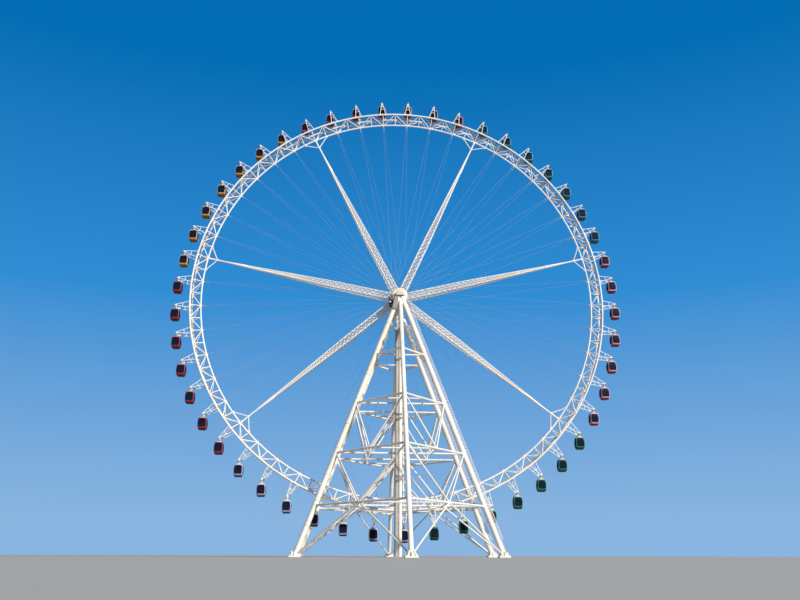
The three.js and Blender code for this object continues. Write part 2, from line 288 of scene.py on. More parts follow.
class Finish(Board):  # a material and what is wired into it
    def __init__(self, name, **constants):
        self.material = bpy.data.materials.new(name)
        self.material.use_nodes = True
        super().__init__(self.material.node_tree)
        self.shader = self.tree.nodes["Principled BSDF"]
        for socket, value in constants.items():
            self.shader.inputs[socket.replace("_", " ")].default_value = value

    def coordinates(self):
        return self.node("ShaderNodeTexCoord", output="Object")

    def noise(self, scale, detail, roughness=0.5, stretch=(1, 1, 1)):
        spot = self.node("ShaderNodeMapping", {}, {"Vector": self.coordinates(), "Scale": stretch})
        values = {"Vector": spot, "Scale": scale, "Detail": detail, "Roughness": roughness}
        return self.node("ShaderNodeTexNoise", {}, values)

    def spread(self, wire, low, high, newLow=0.0, newHigh=1.0):  # a range of a wire, laid over another
        values = {"Value": wire, "From Min": low, "From Max": high, "To Min": newLow, "To Max": newHigh}
        return self.node("ShaderNodeMapRange", {"interpolation_type": "SMOOTHSTEP"}, values)

    def blend(self, share, first, second):
        first, second = [tone if isinstance(tone, Wire) else (*tone, 1) for tone in (first, second)]
        return self.node("ShaderNodeMix", {"data_type": "RGBA"}, {0: share, 6: first, 7: second}, 2)

    def feed(self, **wires):
        for socket, wire in wires.items():
            self.tree.links.new(wire.socket, self.shader.inputs[socket.replace("_", " ")])
        return self.material

    def bump(self, height, distance, strength):
        values = {"Height": height, "Distance": distance, "Strength": strength}
        return self.node("ShaderNodeBump", {}, values, "Normal")


steelPaint = {
    "roughness": (0.44, 0.62),
    "cloud": 1.7,  # scale of the chalky clouds
    "run": (26, 0.09, 0.30),  # scale, stretch and strength of the streaks
    "grain": (420, 0.0006, 0.25),  # scale, depth and strength
}
grime = (0.42, 0.36, 0.28)
steelTones = {  # clean, chalky and streaked
    "white steel": ((0.83, 0.81, 0.78), (0.74, 0.71, 0.67), grime),
    "cream steel": ((0.83, 0.795, 0.72), (0.74, 0.70, 0.62), grime),
    "aged cream": ((0.76, 0.71, 0.54), (0.58, 0.54, 0.38), grime),
    "cabin roof": ((0.68, 0.62, 0.52), (0.58, 0.52, 0.43), grime),
    # painted shade: a grey that stands for the leg casing lying in shade
    "casing shade grey": ((0.30, 0.29, 0.31), (0.24, 0.23, 0.25), (0.16, 0.13, 0.11)),
    # painted shade: a darker grey for the shaded service pipe, the rim lacing and the cabin bearings
    "shade grey": ((0.39, 0.37, 0.355), (0.33, 0.31, 0.295), grime),
}


def paintedSteel(name, clean, chalky, streak):
    finish = Finish(name)
    runScale, stretch, strength = steelPaint["run"]
    grainScale, *grain = steelPaint["grain"]
    cloud = finish.spread(finish.noise(steelPaint["cloud"], 4), 0.35, 0.7)
    run = finish.spread(finish.noise(runScale, 3, 0.6, (1, 1, stretch)), 0.60, 0.78)
    tone = finish.blend(run * strength, finish.blend(cloud, clean, chalky), streak)
    rough = finish.spread(cloud + run * 0.5, 0, 1.5, *steelPaint["roughness"])
    bump = finish.bump(finish.noise(grainScale, 2), *grain)
    return finish.feed(Base_Color=tone, Roughness=rough, Normal=bump)


whitePaint, creamPaint, hoodPaint, roofPaint, casingShadeGrey, shadeGreyPaint = [
    paintedSteel(f"{name} paint", *tones) for name, tones in steelTones.items()]

strandPlan = {
    "tones": ((0.34, 0.38, 0.42), (0.24, 0.27, 0.31)),
    "roughness": (0.45, 0.65),
    "layScale": 260,
}


def cableStrand():
    finish = Finish("galvanised strand", Metallic=0.2)
    lay = finish.noise(strandPlan["layScale"], 2)
    tone = finish.blend(finish.spread(lay, 0.3, 0.7), *strandPlan["tones"])
    return finish.feed(Base_Color=tone, Roughness=finish.spread(lay, 0.3, 0.7, *strandPlan["roughness"]))


machineAndShadowPlan = {
    "noise": (60, 4),  # scale and detail of its patches
    "edges": (0.35, 0.65),
    "tones": ((0.045, 0.047, 0.05), (0.11, 0.10, 0.09)),
    "roughness": (0.35, 0.6),
}
glassPlan = {
    "noise": (9, 2),
    "edges": (0.3, 0.7),
    "tones": ((0.005, 0.009, 0.021), (0.008, 0.014, 0.032)),
    "roughness": (0.30, 0.40),
}


def patched(name, plan, **constants):
    finish = Finish(name, **constants)
    patch = finish.spread(finish.noise(*plan["noise"]), *plan["edges"])
    tone = finish.blend(patch, *plan["tones"])
    return finish.feed(Base_Color=tone, Roughness=finish.spread(patch, 0, 1, *plan["roughness"]))


glossPlan = {
    "sockets": {"Coat_Weight": 0.04, "Coat_Roughness": 0.35, "Specular_IOR_Level": 0.20},
    "roughness": (0.42, 0.56),
    "lowDarkening": 0.12,
    "darkeningHeights": (-0.20, -0.27),  # from the pivot, where the darkening towards the bottom begins and where it is strongest
}


def glossPaint(name, tone):
    finish = Finish(name, **glossPlan["sockets"])
    cloud = finish.spread(finish.noise(14, 4), 0.3, 0.7)
    shade = tuple(part * 0.8 for part in tone)
    height = finish.node("ShaderNodeSeparateXYZ", {}, {"Vector": finish.coordinates()}, "Z")
    # darker and greyer towards the bottom of the cabin
    lowDarkening = finish.spread(height, *glossPlan["darkeningHeights"]) * glossPlan["lowDarkening"]
    lowTone = tuple(0.7 * part + 0.02 for part in shade)
    colour = finish.blend(lowDarkening, finish.blend(cloud, tone, shade), lowTone)
    rough = finish.spread(cloud + lowDarkening, 0, 1.3, *glossPlan["roughness"])
    return finish.feed(Base_Color=colour, Roughness=rough)


cableSteel = cableStrand()
# dark steel of the drive, also used for the painted shadow sheet below the bearing hood
machineAndShadowSteel = patched("dark machine steel and shadow sheet", machineAndShadowPlan, Metallic=0.6)
cabinGlass = patched("tinted cabin glass", glassPlan, Specular_IOR_Level=0.06)
print("finishes mixed")

rimPlan = {
    "segments": 28,  # steps of a chord along a sector
    "outerTube": 0.0160,
    "innerTube": 0.0150,
    "postTube": 0.0085,
    "braceTube": 0.0080,
    "tieTube": 0.0075,
    "lacingTube": 0.0042,
    "lacingDip": 0.020,  # the lacing lies this much inside the outer chords
    "spliceReach": 0.0095,  # of a flange beyond its chord
    "spliceThickness": 0.006,
    "spliceGap": 0.0002,  # from a flange to the end of its sector
    "bolt": 0.0024,
    "boltInset": 0.0042,
    "lugHeight": 0.020,
    "lugWidth": 0.030,
    "lugTip": 0.006,
    "lugThickness": 0.004,
}
rimInside = wheelPlan["innerRadius"] - rimPlan["innerTube"]


def splice(shape, radius, y, angle, side, tube):  # bolted flange at the end of a chord
    towardsEnd = onWheel(1, angle + side * math.pi / 2)
    thick = rimPlan["spliceThickness"]
    start = onWheel(radius, angle, y) - towardsEnd * (thick + rimPlan["spliceGap"])
    wide = tube + rimPlan["spliceReach"]
    profile = [(wide - 0.001, 0), (wide, 0.001), (wide, thick - 0.0003), (wide - 0.0005, thick)]
    shape.turned(start, towardsEnd, profile, 20)
    shape.bolts(start, -towardsEnd, wide - rimPlan["boltInset"], 8, rimPlan["bolt"])


def rimSector():
    shape = Shape()
    outer, inner, half = taken(wheelPlan, "outerRadius", "innerRadius", "halfWidth")
    laced = outer - rimPlan["lacingDip"]
    wide, post, brace = taken(rimPlan, "outerTube", "postTube", "braceTube")
    tie, lacing = taken(rimPlan, "tieTube", "lacingTube")
    reach = sectorStep / 2
    turns = np.linspace(-reach, reach, rimPlan["segments"] + 1)
    for radius, y, tube in ((inner, 0, rimPlan["innerTube"]), (outer, -half, wide), (outer, half, wide)):
        shape.swept([onWheel(radius, turn, y) for turn in turns], tube, 16)
        for side in (-1, 1):
            splice(shape, radius, y, side * reach, side, tube)
    lug = mirrored([(rimPlan["lugWidth"] / 2, 0.004), (rimPlan["lugTip"], -rimPlan["lugHeight"])])
    for station in range(perSpoke):
        angle = (station - lastStation) * cabinStep
        before = angle - cabinStep / 2
        after = angle + cabinStep / 2
        node = onWheel(inner, angle)
        for y in (-half, half):
            shape.tube(node, onWheel(outer, angle, y), post)
            shape.tube(onWheel(inner, before), onWheel(outer, before, y), post)
            for corner in (before, after):
                shape.tube(node, onWheel(outer, corner, y), brace)
        shape.tube(onWheel(outer, before, -half), onWheel(outer, before, half), tie)
        # the lacing takes the darker grey of painted shade
        for y in (-half, half):
            shape.tube(onWheel(laced, before, y), onWheel(laced, after, -y), lacing, 10, 1)
        if station != perSpoke - 1:  # the mast stands at the last station
            foot = onWheel(rimInside, angle)
            across = onWheel(1, angle - math.pi / 2)
            shape.plate(lug, foot, rimPlan["lugThickness"], 0, across, onWheel(1, angle))
    return shape


bracketPlan = {
    "foot": 0.060,  # tangential distance of a leg's foot from the cabin's station
    "head": 0.0045,
    "legTube": 0.0066,
    "tieTube": 0.0056,
    "tieShare": 0.46,  # of the way from the chord to the pivot
    "bootAt": 0.012,  # from the middle of the chord
    "boot": [(0.01575, 0), (0.009625, 0.018)],
    "headPlate": [(0.0115, -0.042), (0.0095, -0.004), (0.006, 0.007)],  # right half, from the pivot
    "headThickness": 0.008,
    "bearingRadius": 0.0105,
    "bearingDepth": 0.030,
    "bearing": [(0.92, 0), (1, 0.06), (1, 0.7), (0.8, 0.78), (0.72, 0.95), (0.5, 1)],  # shares of these
    "bolt": 0.0013,
}


def bracket():  # the two frames that hold one cabin at the top of the wheel
    shape = Shape()
    pivot, outer = taken(wheelPlan, "pivotRadius", "outerRadius")
    radius, depth = taken(bracketPlan, "bearingRadius", "bearingDepth")
    cheek = mirrored(bracketPlan["headPlate"])
    for side in (-1, 1):
        y = side * wheelPlan["halfWidth"]
        waists = []
        for turn in (-1, 1):
            foot = onWheel(outer, turn * bracketPlan["foot"] / outer, y)
            head = onWheel(pivot, turn * bracketPlan["head"] / pivot, y)
            along = unit(head - foot)
            waists.append(mixed(foot, head, bracketPlan["tieShare"]))
            shape.tube(foot, head, bracketPlan["legTube"], 14)
            shape.turned(foot + along * bracketPlan["bootAt"], along, bracketPlan["boot"], 14)
        shape.tube(*waists, bracketPlan["tieTube"])
        shape.plate(cheek, onWheel(pivot, 0, y), bracketPlan["headThickness"])
        start = onWheel(pivot, 0, y - side * depth * 0.42)
        # the bearing and its bolts take the darker grey of painted shade
        shape.turned(start, (0, side, 0), scaled(bracketPlan["bearing"], radius, depth), 24, 1)
        face = start + vec(0, side * depth * 0.7, 0)
        shape.bolts(face, (0, side, 0), radius * 0.88, 6, bracketPlan["bolt"], 1)
    return shape


sectorShape = rimSector()
bracketShape = bracket()
for sector in range(spokes):
    turn = restTurn + sector * sectorStep
    sectorMesh = sectorShape.swung(turn).mesh(f"rim sector {sector + 1}", [whitePaint, shadeGreyPaint])
    place(f"rimFrame_{sector + 1}", sectorMesh, "wheel", [f"rim_sector_{sector + 1}"], axle)
    bracketRow = Shape()
    for station in range(perSpoke):
        bracketRow.copy(bracketShape, turn + (station - lastStation) * cabinStep)
    bracketMesh = bracketRow.mesh(f"bracket row {sector + 1}", [whitePaint, shadeGreyPaint])
    place(f"cabinBrackets_{sector + 1}", bracketMesh, "wheel", [], axle)
print("rim built")

mastPlan = {
    # way out, half width and half depth
    "sections": [(0.080, 0.064, 0.120), (1.30, 0.060, 0.092), (3.30, 0.012, 0.012)],
    "cornersFrom": 0.085,
    "latticeFrom": 0.150,
    "latticeTo": 2.900,
    "leastHalf": 0.004,  # half width and depth between the corner tubes' middles
    "cornerTube": 0.0092,
    "lacingTube": 0.0052,
    "crossTube": 0.0048,
    "cellShare": 1.9,  # length of a cell against the mast's half width
    "cellLeast": 0.050,
    "tipTube": 0.0150,
    "tipOverlap": 0.030,
    "shoe": [(1.45, 0), (1.5, 0.003), (1.5, 0.012), (1.3, 0.032)],  # radius against the tip's, way out
    "forkAt": 3.485,
    "forkTube": 0.0090,
    "forkPad": [(0.020, 0), (0.020, 0.006), (0.011, 0.022)],
}


def mastHalf(at):  # half width and half depth of a mast, between the middles of its corner tubes
    ways, *halves = zip(*mastPlan["sections"])
    return [np.interp(at, ways, half) - mastPlan["cornerTube"] for half in halves]


def mastCorner(at, x, y):
    width, depth = [max(half, mastPlan["leastHalf"]) for half in mastHalf(at)]
    return vec(x * width, y * depth, at)


def mast():  # points straight up from the axle
    shape = Shape()
    ways = [mastPlan["latticeFrom"]]
    while ways[-1] < mastPlan["latticeTo"]:
        ways.append(ways[-1] + max(mastPlan["cellShare"] * mastHalf(ways[-1])[0], mastPlan["cellLeast"]))
    tip = ways[-1]
    corners = [(-1, -1), (1, -1), (1, 1), (-1, 1)]
    stops = [mastPlan["cornersFrom"], mastPlan["sections"][1][0], tip + 0.02]

    def bar(way, corner, ahead, other, tube, sides=8):
        shape.tube(mastCorner(way, *corner), mastCorner(ahead, *other), mastPlan[tube], sides)

    for corner in corners:
        for near, far in zip(stops, stops[1:]):
            bar(near, corner, far, corner, "cornerTube", 12)
    for index, way in enumerate(ways):
        for corner, other in zip(corners, corners[1:] + corners[:1]):
            bar(way, corner, way, other, "crossTube")
            if way != tip:
                bar(way, corner, ways[index + 1], other, "lacingTube")
                bar(way, other, ways[index + 1], corner, "lacingTube")
    wide = max(mastHalf(tip)) + mastPlan["cornerTube"]
    tube, overlap, fork = taken(mastPlan, "tipTube", "tipOverlap", "forkAt")
    length = rimInside - tip + overlap
    cone = [(wide * 1.05, 0), (wide * 1.12, 0.02), (tube * 1.15, 0.36), (tube, 0.40), (tube, length)]
    shape.turned((0, 0, tip - overlap), up, cone, 20)
    shape.turned((0, 0, rimInside - overlap), up, scaled(mastPlan["shoe"], tube), 20)
    for side in (-1, 1):
        pad = onWheel(rimInside + 0.004, side * cabinStep / 2)
        shape.tube((0, 0, fork), pad, mastPlan["forkTube"], 14)
        shape.turned(pad, -pad, mastPlan["forkPad"], 16)
    shape.turned((0, 0, fork - 0.02), up, band(tube, tube * 1.35, 0.046, 0.012), 20)
    return shape


mastShape = mast()
for spoke in range(spokes):
    turn = restTurn + lastStation * cabinStep + spoke * sectorStep
    mastMesh = mastShape.swung(turn).mesh(f"mast {spoke + 1}", [whitePaint])
    place(f"latticeMast_{spoke + 1}", mastMesh, "wheel", [], axle)
print("masts built")

hubPlan = {
    "drum": 0.116,
    "halfLength": 0.205,
    "flange": 0.143,
    "flangeAt": 0.178,
    "flangeWidth": 0.016,
    "flangeBolts": (0.124, 42, 0.0026),  # radius of their circle, count and size
    "cover": [(0.094, 0), (0.094, 0.008), (0.090, 0.010), (0.06, 0.010)],
    "coverBolts": (0.083, 24, 0.0034),
    "axle": 0.058,
    "axleHalfLength": 0.255,
    "ribs": [-0.09, 0.0, 0.09],
    "ribRadius": 0.126,
    "ribWidth": 0.010,
}


def hub():
    shape = Shape()
    drum, half, thin, end = taken(hubPlan, "drum", "halfLength", "axle", "axleHalfLength")
    right = [(drum, half - 0.018), (drum * 0.86, half), (thin, half + 0.004), (thin, end)]
    left = [(wide, -way) for wide, way in right[::-1]]
    shape.turned((0, 0, 0), (0, 1, 0), left + right, 64)
    wide, width, thick = taken(hubPlan, "flange", "flangeWidth", "ribWidth")
    flange = [(drum * 0.9, 0), *band(wide - 0.002, wide, width, 0.002), (drum * 0.9, width)]
    for side in (-1, 1):
        y = side * hubPlan["flangeAt"]
        out = (0, side, 0)
        shape.turned((0, y - width / 2, 0), (0, 1, 0), flange, 84)
        shape.bolts((0, y + side * width / 2, 0), out, *hubPlan["flangeBolts"])
        shape.turned((0, side * (half - 0.004), 0), out, hubPlan["cover"], 48)
        shape.bolts((0, side * (half + 0.005), 0), out, *hubPlan["coverBolts"])
    rib = band(drum * 0.9, hubPlan["ribRadius"], thick)
    for y in hubPlan["ribs"]:
        shape.turned((0, y - thick / 2, 0), (0, 1, 0), rib, 84)
    return shape


cablePlan = {
    "radius": 0.0013,
    "hubRing": 0.133,
    "hubAt": 0.178,
    "hubSpread": 62,  # degrees that a pair's ends stand from their station, on opposite sides of the hub
    "rimLink": 0.014,  # half distance of a pair at the rim, along the axle
    "pin": 0.0036,
    "pinRise": 0.006,  # above the lug's tip
    "socketRadius": 0.0040,
    "socketLength": 0.036,
    "screwLength": 0.050,
}


def cableNet():
    shape = Shape()
    low = rimInside - rimPlan["lugHeight"] + cablePlan["pinRise"]
    spread = math.radians(cablePlan["hubSpread"])
    ring, reach, wide, sleeve = taken(cablePlan, "hubRing", "hubAt", "socketRadius", "socketLength")
    outward = ring * math.cos(spread)
    sideways = ring * math.sin(spread)
    screw = sleeve + cablePlan["screwLength"]
    socket = scaled([(0.8, 0), (1, 0.004), (1, sleeve * 0.6), (0.5, sleeve)], wide)
    rigging = [(0.5, -screw), (0.8, 0.006 - screw), (0.8, -sleeve - 0.010), (0.55, -sleeve - 0.008),
               (0.55, -sleeve), (1, 0.004 - sleeve), (1, -0.004), (0.7, 0)]

    def stop(angle, radius, side, share):
        across = onWheel(side * share * sideways, angle + math.pi / 2)
        return onWheel(radius, angle, side * share * reach) - across

    for cabin in range(spokes * perSpoke):
        if cabin % perSpoke == lastStation:
            continue
        angle = restTurn + cabin * cabinStep
        links = [stop(angle, low, side, cablePlan["rimLink"] / reach) for side in (-1, 1)]
        for side, end in zip((-1, 1), links):
            start = stop(angle, outward, side, 1)
            along = unit(end - start)
            shape.tube(start + along * sleeve, end - along * sleeve, cablePlan["radius"], 8)
            shape.turned(start, along, socket, 10)
            shape.turned(end, along, scaled(rigging, wide), 10)
        shape.tube(*links, cablePlan["pin"], 10)
    return shape


place("hubDrum", hub().mesh("hub", [whitePaint]), "wheel", ["hub_and_spokes"], axle)
cableMesh = cableNet().mesh("cables", [cableSteel])
place("spokeCables", cableMesh, "wheel", ["cable_net"], axle, slot="cable_steel")
print("hub and cables built")

towerPlan = {
    "legFoot": (1.737, 0.549),  # across, and out from the middle of the wheel
    "legHead": (0.023, 0.385),
    "legTop": 4.560,
    "legTube": 0.0455,
    "columnFoot": (0, 2.905),
    "columnHead": (0, 0.335),
    "columnTop": 4.585,
    "columnTube": 0.0365,
    "levels": [3.452, 2.570, 1.704, 0.830],
    "strutTube": 0.0170,
    "tieTube": 0.0132,
    "braceTube": 0.0128,
    "braceFoot": 0.03,  # height at which the lowest braces end
    "knot": band(0.012, 0.0185, 0.038, 0.005),
    "welds": [0.42, 1.26, 2.12, 3.0, 3.95],  # collars between the levels
    "collarRise": 0.09,  # of a collar above its height in the lists
    "collarWidth": 0.018,
    "collarReach": 0.006,
    "footPlate": (0.190, 0.024),
    "shoe": [(1.7, -0.002), (1.68, 0.012), (1.35, 0.016), (1.1, 0.05)],  # radius against the tube's
    "gussetHeight": 0.075,
    "anchor": [(0.0085, 0), (0.0085, 0.006), (0.006, 0.007), (0.006, 0.016)],
    "anchorShare": 0.41,  # of the plate's width, from its middle
}


def legPoint(side, height):  # on the front tower: side is -1 left leg, 0 column, 1 right leg
    part = "leg" if side else "column"
    foot, head, top = taken(towerPlan, part + "Foot", part + "Head", part + "Top")
    x, y = mixed(vec(*foot), vec(*head), height / top)
    return vec(side * x, -y, height)


def towerLegs():
    shape = Shape()
    plate, thick = towerPlan["footPlate"]
    width, tall = taken(towerPlan, "collarWidth", "gussetHeight")
    for side, part in ((-1, "leg"), (1, "leg"), (0, "column")):
        tube, height = taken(towerPlan, part + "Tube", part + "Top")
        low = legPoint(side, thick)
        top = legPoint(side, height)
        along = unit(top - low)
        shape.tube(low, top, tube, 36)
        collar = band(tube * 0.98, tube + towerPlan["collarReach"], width, 0.003)
        for height in [*towerPlan["levels"], *towerPlan["welds"]]:
            middle = legPoint(side, height + towerPlan["collarRise"])
            shape.turned(middle - along * width / 2, along, collar, 32)
        shape.turned(low, up, scaled(towerPlan["shoe"], tube), 36)
        foot = legPoint(side, thick / 2)
        shape.block(foot, (plate, plate, thick), 0.003)
        edge = plate * 0.46
        gusset = [(tube * 0.9, 0), (edge, 0), (edge, 0.012), (tube * 1.15, tall), (tube * 0.9, tall)]
        for turn in np.arange(8) * math.pi / 4:
            shape.plate(gusset, (*foot[:2], thick), 0.006, 0, (math.cos(turn), math.sin(turn), 0))
        for x in (-1, 0, 1):
            for y in (-1, 0, 1):
                if x or y:
                    spot = foot + vec(x, y, 0) * plate * towerPlan["anchorShare"]
                    shape.turned((*spot[:2], thick - 0.001), up, towerPlan["anchor"], 6)
    return shape


def towerBracing():
    shape = Shape()
    strut, tie, brace, levels = taken(towerPlan, "strutTube", "tieTube", "braceTube", "levels")
    for height in levels:
        left, right, column = [legPoint(side, height) for side in (-1, 1, 0)]
        for a, b in ((left, column), (right, column), (left, right)):
            shape.tube(a, b, strut, 20)
        if height != levels[0]:
            centre = mixed(left, right, 0.5)
            nodes = [mixed(left, column, 0.5), mixed(right, column, 0.5)]
            shape.tube(*nodes, tie, 16)
            for node, leg in zip(nodes, (left, right)):
                shape.tube(node, mixed(leg, centre, 0.5), tie, 16)
    for lower, upper in zip(levels[2:] + levels[3:], levels[1:3] + [towerPlan["braceFoot"]]):
        for side in (-1, 1):
            leg = legPoint(side, lower)
            far = legPoint(side, upper)
            sideNode = mixed(leg, legPoint(0, lower), 0.5)
            innerNode = leg * vec(0.5, 1, 1)
            for node, end in ((sideNode, far), (sideNode, legPoint(0, upper)), (innerNode, far)):
                shape.tube(node, end, brace, 16)
            if upper > lower:
                shape.tube(innerNode, far * vec(0, 1, 1), brace, 16)
                for node in (sideNode, innerNode):
                    shape.turned(node - vec(0, 0, 0.019), up, towerPlan["knot"], 20)
    return shape


housingPlan = {
    "radius": 0.142,
    "inner": 0.222,
    "outer": 0.275,
    "edge": 0.014,
    "bolts": (0.120, 24, 0.0042),  # radius of their circle, count and size
    "hoodRadius": 0.083,
    "hoodOuter": 0.400,
    "hoodFloor": 0.048,  # below the axle
    "hoodPoints": 33,
    "shadowSheetFront": 0.446,  # a dark sheet below the hood, painted shadow of the hood, reaches this far out
    "shadowSheetDrop": 0.024,
    "lid": (0.046, 0.040, 0, 0.050),
    "lidDrop": 0.020,
    "studs": [(-0.034, -0.012), (-0.034, 0.022), (0.034, -0.012), (0.034, 0.022)],
    "stud": [(0.0045, 0), (0.0045, 0.0035), (0.003, 0.0045)],
    "saddleHalf": (0.072, 0.118),  # half width at its foot and at the hood
    "saddleHeights": (4.366, 4.580),
    "saddleDepth": (0.232, 0.346),
    "rimReach": 0.010,  # of the saddle's two edges
}


def bearingHousing():  # of the front tower, about the axle
    shape = Shape()
    radius, inner, outer, edge = taken(housingPlan, "radius", "inner", "outer", "edge")
    turns = np.linspace(0.2, 1.57, 5)
    rounding = zip(radius - edge + edge * np.cos(turns), outer - edge + edge * np.sin(turns))
    case = [(0.064, inner), (radius - 0.006, inner), (radius, inner + 0.004), *rounding, (0.03, outer)]
    shape.turned((0, 0, 0), forward, case, 64)
    shape.bolts((0, -outer + 0.001, 0), forward, *housingPlan["bolts"])
    hood, floor, reach, count = taken(housingPlan, "hoodRadius", "hoodFloor", "hoodOuter", "hoodPoints")
    dip = math.asin(floor / hood)
    turns = np.linspace(-dip, math.pi + dip, count)
    arch = np.column_stack([np.cos(turns) * hood, np.zeros(count), np.sin(turns) * hood])
    near = outer - 0.01
    rows = [(0.9, near), (1, near), (1, reach - 0.008), (0.975, reach - 0.002), (0.93, reach)]
    shape.rings([arch * size - vec(0, way, 0) for size, way in rows], 1)
    # painted shadow: a dark bowed sheet below the hood, standing where the hood's shadow falls
    shadowSheet, drop = taken(housingPlan, "shadowSheetFront", "shadowSheetDrop")
    half = hood * 0.88
    across = np.linspace(-half, half, 17)
    bow = np.stack([across, -floor - 0.001 - drop * (1 - (across / half) ** 2)], 1)
    shape.plate(bow, (0, -(outer + shadowSheet) / 2, 0), shadowSheet - outer, 2)
    shape.plate(wedge(*housingPlan["lid"]), (0, -reach, -housingPlan["lidDrop"]), 0.006, 1)
    for x, z in housingPlan["studs"]:
        shape.turned((x, -reach - 0.002, z), forward, housingPlan["stud"], 6)
    foot, top = housingPlan["saddleHalf"]
    near, far = housingPlan["saddleDepth"]
    low, high = [height - axle.z for height in housingPlan["saddleHeights"]]
    middle = -(near + far) / 2
    rim = housingPlan["rimReach"]
    shape.plate(wedge(foot, top, low, high), (0, middle, 0), far - near)
    for y in (-near - 0.006, -far + 0.006):
        shape.plate(wedge(foot + rim, top + rim, low - 0.004, high), (0, y, 0), 0.008)
    rib = [(0, -0.004), (0.012, -0.004), (0.012, 0.004), (0, 0.004)]
    for side in (-1, 1):
        for share in (0.25, 0.5, 0.75):
            spot = (side * (mixed(foot, top, share) - 0.002), middle, mixed(low, high, share))
            shape.plate(rib, spot, far - near - 0.012, 0, (side, 0, 0))
    return shape


ladderPlan = {
    "gap": 0.010,  # between a leg and the rungs
    "halfWidth": 0.019,
    "stringer": 0.0026,
    "rung": 0.0016,
    "rungs": (0.02, 0.030),  # way up to the first, and step
    "hoops": (0.22, 0.051),
    "hoopTube": 0.0022,
    "hoopRadius": 0.023,
    "hoopTurns": (-52, 232),  # degrees, open towards the leg
    "hoopShift": 0.78,  # share of the radius that a hoop's middle stands off the rungs
    "cageStrip": 0.0014,
    "brackets": (0.10, 0.330),
    "bracketTube": 0.0020,
    "ends": (0.06, 4.20),  # heights
}


def ladder(bottom, top, outward):  # a caged ladder between two points, its hoops on the outward side
    shape = Shape()
    along = unit(top - bottom)
    across = unit(np.cross(along, outward))
    out = np.cross(across, along)
    half = across * ladderPlan["halfWidth"]
    radius = ladderPlan["hoopRadius"]

    def stations(part):
        first, step = ladderPlan[part]
        return [bottom + along * way for way in np.arange(first, np.linalg.norm(top - bottom), step)]

    def onHoop(turn):
        shift = out * radius * ladderPlan["hoopShift"]
        return shift + radius * (math.cos(turn) * across + math.sin(turn) * out)

    for side in (-half, half):
        shape.tube(bottom + side, top + side, ladderPlan["stringer"], 8)
    for middle in stations("rungs"):
        shape.tube(middle - half, middle + half, ladderPlan["rung"], 6)
    turns = np.radians(np.linspace(*ladderPlan["hoopTurns"], 13))
    for middle in stations("hoops"):
        shape.swept([middle + onHoop(turn) for turn in turns], ladderPlan["hoopTube"], 6, upward=along)
    for turn in np.linspace(0, math.pi, 5):
        shape.tube(stations("hoops")[0] + onHoop(turn), top + onHoop(turn), ladderPlan["cageStrip"], 6)
    for middle in stations("brackets"):
        for side in (-half, half):
            end = middle - out * (ladderPlan["gap"] + 0.012) + side * 0.6
            shape.tube(middle + side, end, ladderPlan["bracketTube"], 6)
    return shape


def legLadder(tower):  # on the outer side of a tower's right leg; tower is 1 front, -1 rear
    low, high = [legPoint(1, height) * vec(1, tower, 1) for height in ladderPlan["ends"]]
    out = unit(vec((high - low)[2], 0, -(high - low)[0]))
    shift = out * (towerPlan["legTube"] + ladderPlan["gap"])
    return ladder(low + shift, high + shift, out)


pipePlan = {
    "tubes": [(-0.075, 0.030), (-0.010, 0.032)],  # place across and radius
    "depth": 0.62,  # from the middle of the wheel
    "top": 3.86,
    "firstClamp": 0.25,
    "clampStep": 0.30,
    "clampReach": 0.0030,
    "clampWidth": 0.016,
    "bracket": 0.008,
    "foot": (0.200, 0.110, 0.012),
    "head": (0.160, 0.130, 0.050),
}


def servicePipes():  # two plumb pipes between the legs and the column of the front tower
    shape = Shape()
    top, depth, foot, head = taken(pipePlan, "top", "depth", "foot", "head")
    # the first pipe with its clamps, every bracket and both blocks take the darker grey, painted shade
    # for the pair's shaded side
    for mark, (x, tube) in enumerate(pipePlan["tubes"]):
        shape.turned((x, -depth, 0), up, band(tube - 0.002, tube, top, 0.002), 32, mark)
        clamp = band(tube - 0.0005, tube + pipePlan["clampReach"], pipePlan["clampWidth"], 0.001)
        for height in np.arange(pipePlan["firstClamp"], top, pipePlan["clampStep"]):
            shape.turned((x, -depth, height), up, clamp, 32, mark)
        for height in towerPlan["levels"]:
            shape.tube((x, -depth, height), (x, legPoint(1, height)[1], height), pipePlan["bracket"])
    middle = sum(x for x, tube in pipePlan["tubes"]) / 2
    shape.block((middle, -depth, foot[2] / 2), foot, 0.002)
    shape.block((middle, -depth - head[1] / 4, top), head, 0.004)
    return shape


drivePlan = {
    "place": (-0.172, -0.345, 4.465),
    "motorRise": 0.035,
    "motorRadius": 0.028,
    "motorLength": 0.100,
    "motor": [(0.6, 0), (1, 0.07), (1, 0.7), (0.8, 0.78), (0.8, 0.95), (0.4, 1)],  # shares of these two
    "finStep": 0.008,
    # gear box, tank and shelf: middle from the place, size and bevel
    "blocks": [
        ((0.006, 0, -0.012), (0.074, 0.088, 0.048), 0.004),
        ((0.004, 0.012, -0.070), (0.056, 0.060, 0.062), 0.006),
        ((0.040, 0, -0.036), (0.066, 0.10, 0.008), 0.001),
    ],
    "cap": [(0.016, 0), (0.016, 0.010), (0.012, 0.013)],
}


